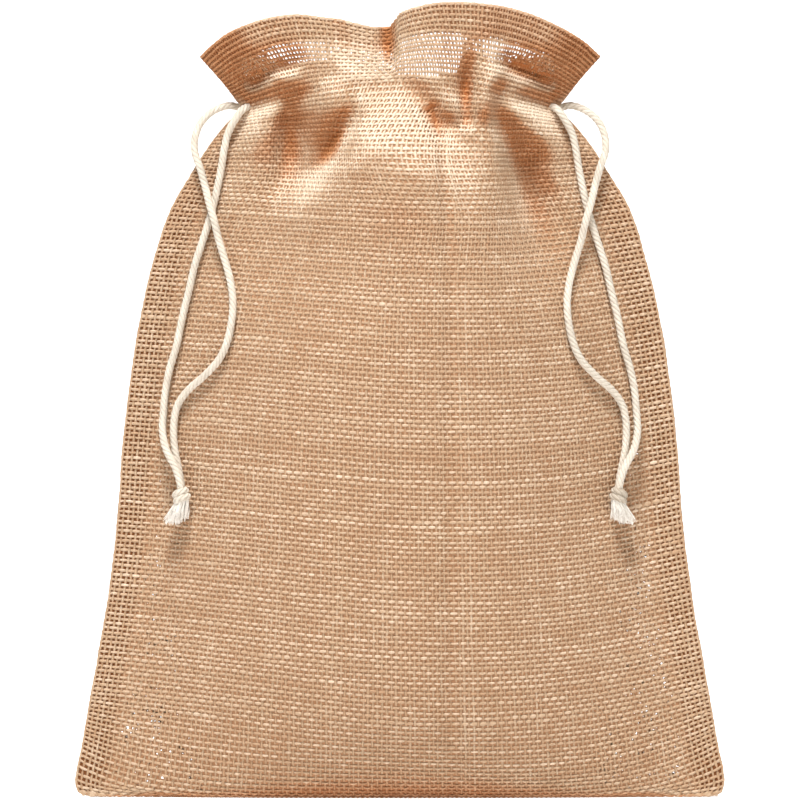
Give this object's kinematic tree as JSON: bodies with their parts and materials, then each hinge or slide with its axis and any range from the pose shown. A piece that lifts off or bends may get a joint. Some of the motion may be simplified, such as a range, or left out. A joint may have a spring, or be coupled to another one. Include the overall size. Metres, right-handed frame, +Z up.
{
  "type": "drawstring gift bag",
  "caption": "Upright drawstring gift bag of plain-woven jute: flat side seams, a neck drawn in under a hemmed frill, and knotted white cotton cords hanging at both sides.",
  "frame": {"origin": "on the floor below the middle of the bag's width and depth, cords left out", "axes": "+Z up, the front faces -Y, +X to the right seen from the front"},
  "size_m": [0.2516, 0.0896, 0.307],
  "materials": {
    "jute": "matt coarse plain weave",
    "cotton": "matt twisted cord"
  },
  "bodies": {
    "root": {"bag_body": "jute", "left_cord_loop": "cotton", "left_cord_straight": "cotton", "left_end_knot": "cotton", "right_cord_loop": "cotton", "right_cord_straight": "cotton", "right_end_knot": "cotton"}
  },
  "joints": []
}
